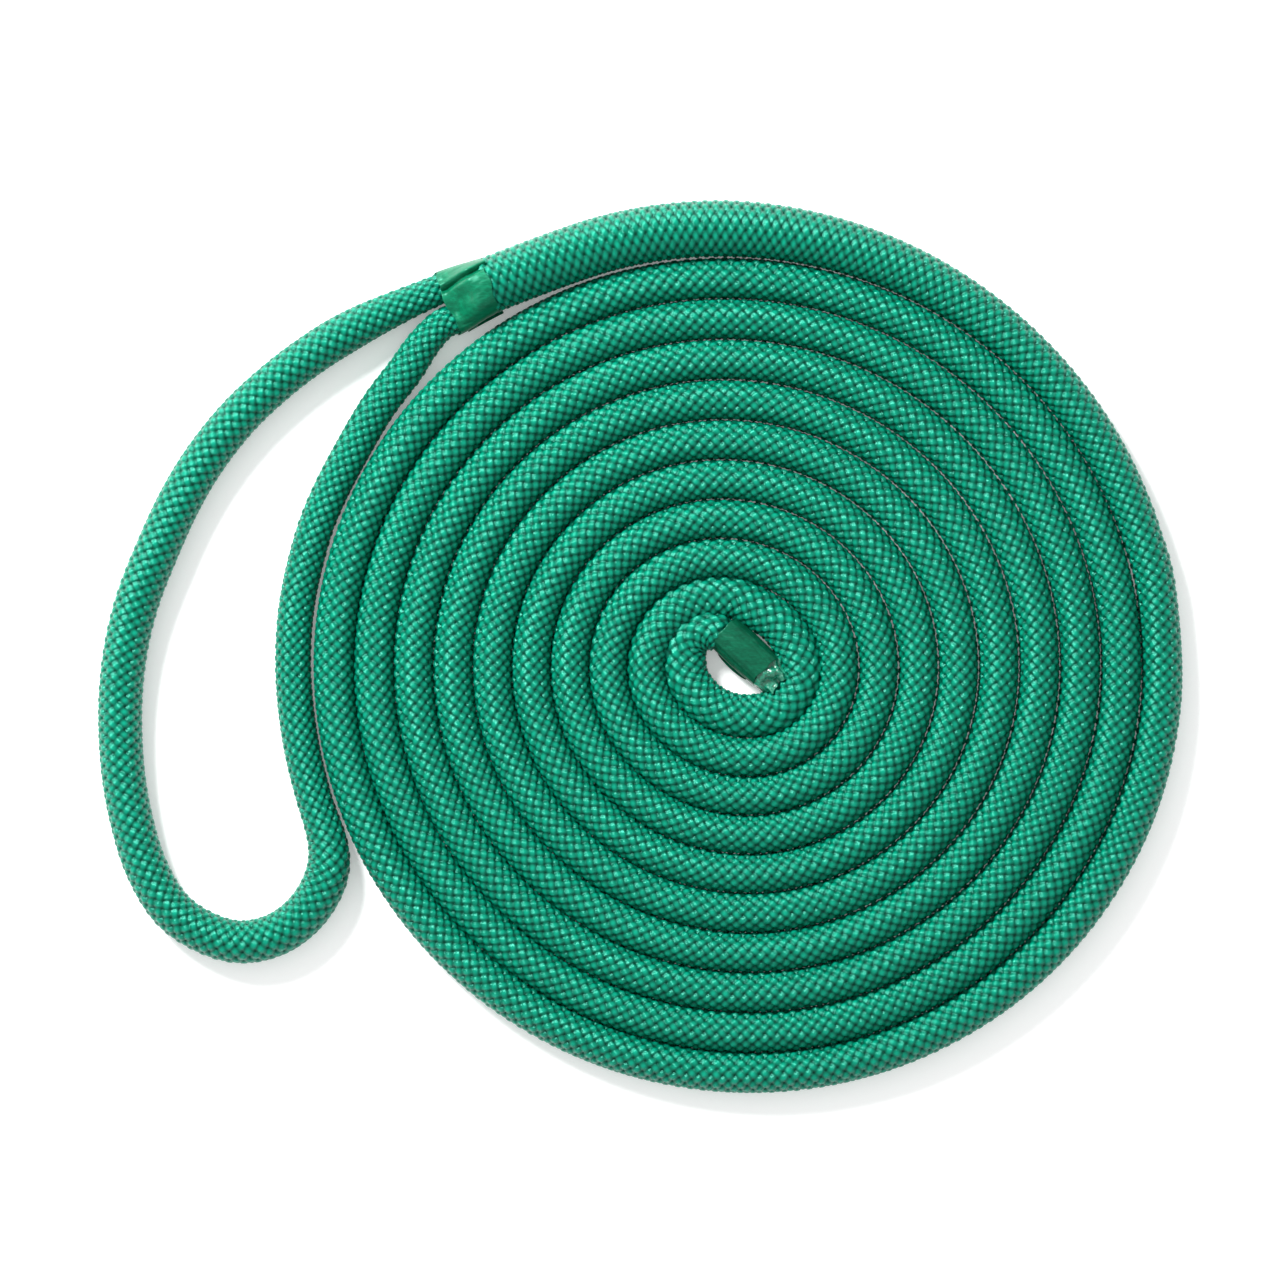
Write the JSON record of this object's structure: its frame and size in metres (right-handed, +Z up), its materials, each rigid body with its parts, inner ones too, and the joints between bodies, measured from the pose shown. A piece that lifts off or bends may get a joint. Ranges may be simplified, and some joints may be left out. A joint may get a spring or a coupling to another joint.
{
  "type": "coiled dock line",
  "caption": "Double-braid nylon dock line with a spliced eye and a whipped, melted bitter end, laid down as a flat spiral coil.",
  "frame": {"origin": "middle of the footprint, on the surface that the line lies on", "axes": "+Z up from the surface; +X from the eye towards the coil, along the longest extent; +Y towards the throat band"},
  "size_m": [0.4235, 0.3473, 0.025],
  "materials": {
    "cover_braid": "sea-green braided nylon with a soft sheen",
    "core_braid": "undyed braided nylon",
    "whipping": "smooth satin green tape",
    "melted_nylon": "glossy, uneven melted nylon"
  },
  "bodies": {
    "root": {"eye_cover": "cover_braid", "eye_core": "core_braid", "splice_cover": "cover_braid", "splice_core": "core_braid", "buried_cover_tail": "cover_braid", "throat_band": "whipping", "coil": "cover_braid", "end_cover": "cover_braid", "end_core": "core_braid", "end_whipping": "whipping", "melted_tip": "melted_nylon"}
  },
  "joints": []
}
